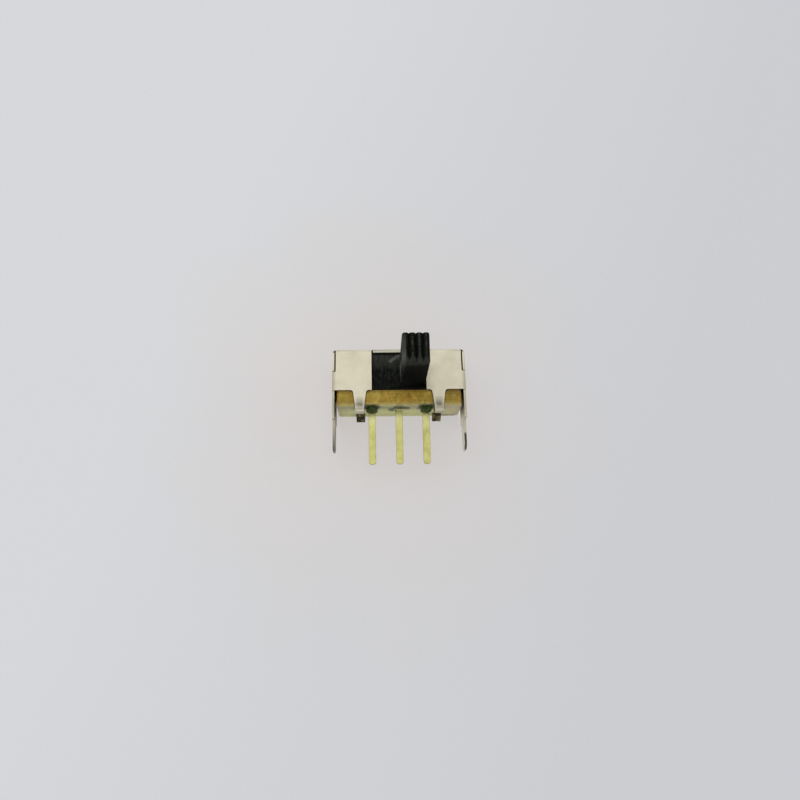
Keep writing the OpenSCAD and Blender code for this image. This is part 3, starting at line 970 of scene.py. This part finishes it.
def add_camera():
    """The photograph's camera, below the board's level and looking up a little."""
    turn = Matrix.Rotation(-CAMERA_YAW, 3, "Z")
    ahead = Vector((0, math.cos(CAMERA_TILT), math.sin(CAMERA_TILT)))
    level_up = Vector((0, -math.sin(CAMERA_TILT), math.cos(CAMERA_TILT)))
    level_right = Vector((1, 0, 0))
    right = level_right * math.cos(CAMERA_ROLL) - level_up * math.sin(CAMERA_ROLL)
    up = level_up * math.cos(CAMERA_ROLL) + level_right * math.sin(CAMERA_ROLL)
    aim = Vector((AIM_X, 0, board_low.z + AIM_ABOVE_BOARD))
    place = turn @ (aim - ahead * CAMERA_DISTANCE) * MM
    axes = Matrix((turn @ right, turn @ up, -(turn @ ahead))).transposed()
    lens = bpy.data.cameras.new("camera")
    lens.sensor_width = SENSOR_MM
    lens.lens = FOCAL_PX * SENSOR_MM / IMAGE_PX
    lens.clip_start = CLIP_START * MM
    holder = add_object("camera", lens)
    holder.matrix_world = Matrix.Translation(place) @ axes.to_4x4()
    bpy.context.scene.camera = holder


def paper_finish():
    """Pale paper that shows from the front only, with a faint shadow and painted shade towards its right."""
    paper = Finish("paper")
    away = paper.vector("DISTANCE", paper.point(), (0.0, shell_high.y, board_low.z), "Value")
    waver = paper.spread(paper.noise(0.12, detail=5.0, roughness=0.6), -TONE_WAVER, TONE_WAVER)
    further = paper.ramp(paper.maths("ADD", away, waver), TONE_NEAR, TONE_FAR)
    # Painted shade across the paper, darker to the right
    slope = paper.maths("SUBTRACT", paper.axis("X"), paper.both(paper.axis("Z"), SHADE_LEAN))
    colour = paper.coats(
        paper.mix(PAPER_NEAR, PAPER_FAR, further),
        (PAPER_SHADE, paper.ramp(slope, -TONE_FAR, TONE_FAR), SHADE_SHARE),
    )
    paper.set(
        Base_Color=colour, Roughness=0.9, Specular_IOR_Level=0.1,
        Normal=paper.bump(paper.noise(3.0, detail=4.0, roughness=0.7), PAPER_TOOTH),
    )
    path = paper.put("ShaderNodeLightPath").outputs
    even = paper.put("ShaderNodeEmission", {"Color": colour, "Strength": 1.0}).outputs["Emission"]
    lit = paper.put(
        "ShaderNodeMixShader",
        {0: paper.both(paper.seen(path), PAPER_EVEN), 1: paper.shader.outputs["BSDF"], 2: even},
    ).outputs["Shader"]
    short = paper.maths("LESS_THAN", path["Ray Length"], PAPER_CLEAR * MM)
    close = paper.both(short, paper.maths("SUBTRACT", 1.0, path["Is Camera Ray"]))
    unseen = paper.either(paper.put("ShaderNodeNewGeometry").outputs["Backfacing"], close)
    clear = paper.put("ShaderNodeBsdfTransparent").outputs["BSDF"]
    shown = paper.put("ShaderNodeMixShader", {0: unseen, 1: lit, 2: clear}).outputs["Shader"]
    paper.give(paper.output, {"Surface": shown})
    return paper.material


def add_paper():
    """The sheet that the switch lies on, behind its back."""
    rest_y = (shell_high.y + PAPER_GAP) * MM
    corners = ((-1, -1), (1, -1), (1, 1), (-1, 1))
    mesh = bpy.data.meshes.new("paper")
    mesh.from_pydata([(x * PAPER_REACH, rest_y, z * PAPER_REACH) for x, z in corners], [], [(0, 1, 2, 3)])
    mesh.materials.append(paper_finish())
    sheet = add_object("paper", mesh)
    sheet.visible_shadow = False


def add_lamp(name, place, size, level):
    """A square soft lamp aimed at the switch, in metres; level is its share of plain light."""
    away = Vector(place)
    light = bpy.data.lights.new(name, "AREA")
    light.size = size
    light.energy = level * math.pi ** 2 * away.length_squared
    holder = add_object(name, light)
    holder.location = away
    holder.rotation_euler = (-away).to_track_quat("-Z", "Y").to_euler()


def add_surroundings(level):
    """Even pale surroundings, in a tone like the paper's where the camera sees them."""
    world = bpy.data.worlds.new("surroundings")
    world.use_nodes = True
    world.node_tree.nodes.clear()
    nodes = Nodes(world.node_tree)
    path = nodes.put("ShaderNodeLightPath").outputs
    colour = nodes.mix((level, level, level), ROOM_COLOUR, nodes.seen(path))
    shade = nodes.put("ShaderNodeBackground", {"Color": colour, "Strength": 1.0}).outputs["Background"]
    nodes.put("ShaderNodeOutputWorld", {"Surface": shade})
    bpy.context.scene.world = world


add_camera()
add_surroundings(ROOM_LEVEL)
add_paper()
for lamp in LAMPS:
    add_lamp(*lamp)

finishes = {
    "plated_steel": plated_steel(),
    "phenolic_board": phenolic_board(),
    "pin_brass": pin_brass(),
    "seal_resin": seal_resin(),
    "black_plastic": black_plastic(),
    "spring_bronze": spring_bronze(),
    "spring_steel": spring_steel(),
}
dress("frame_shell", "frame", "plated_steel", SHEET_EDGE)
dress("terminal_board", "frame", "phenolic_board", BOARD_EDGE)
for terminal in ("terminal_left", "terminal_centre", "terminal_right"):
    dress(terminal, "frame", "pin_brass", PIN_EDGE)
dress("slider_knob", "slider", "black_plastic", KNOB_EDGE)
for dab in ("seal_left", "seal_centre", "seal_right"):
    dress_dab(dab)
dress_spring()
coat("wiper_contact", "spring_bronze")
coat("detent_ball", "spring_steel")

bpy.context.scene.view_settings.view_transform = "Standard"
